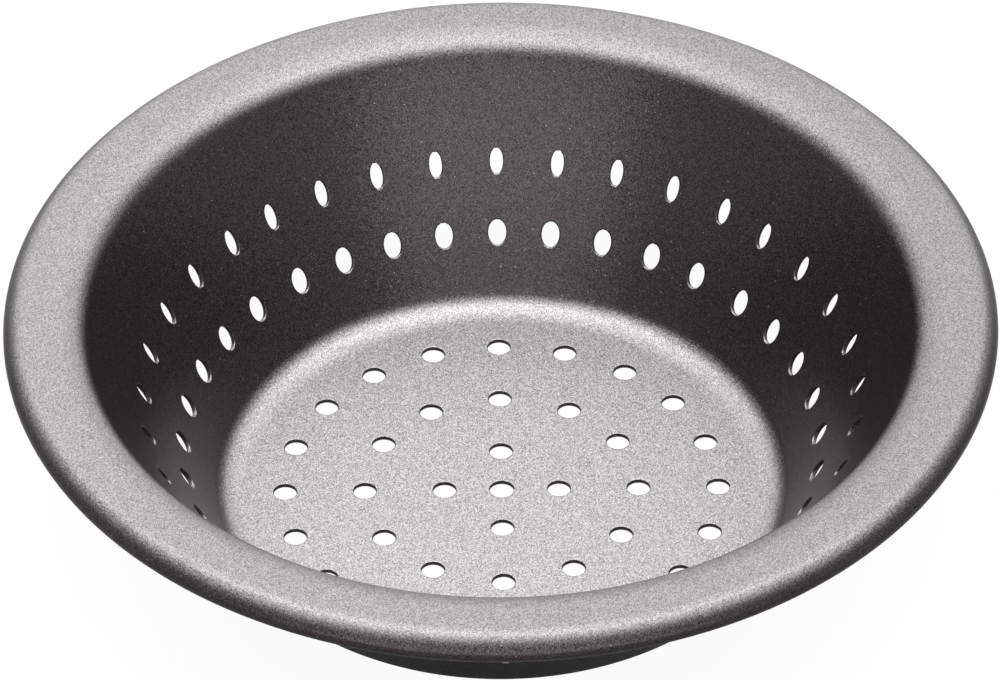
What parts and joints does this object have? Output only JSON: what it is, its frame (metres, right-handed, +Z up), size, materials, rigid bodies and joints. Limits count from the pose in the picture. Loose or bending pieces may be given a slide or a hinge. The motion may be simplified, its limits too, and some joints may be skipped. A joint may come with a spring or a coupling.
{
  "type": "perforated pie pan",
  "caption": "Round individual pie pan in coated sheet steel, with sloping sides, a wide rolled rim, and a perforated base and wall that let steam out.",
  "frame": {"origin": "centre of the base on its underside, on the surface that the pan stands on", "axes": "+Z up out of the pan along its axis; +X and +Y through the middle of a quarter's group of holes"},
  "size_m": [0.1606, 0.1606, 0.0411],
  "materials": {
    "coated_steel": "satin silver-grey non-stick coating with fine metal flakes, darker on its steep faces"
  },
  "bodies": {
    "root": {"pie_pan": "coated_steel"}
  },
  "joints": []
}
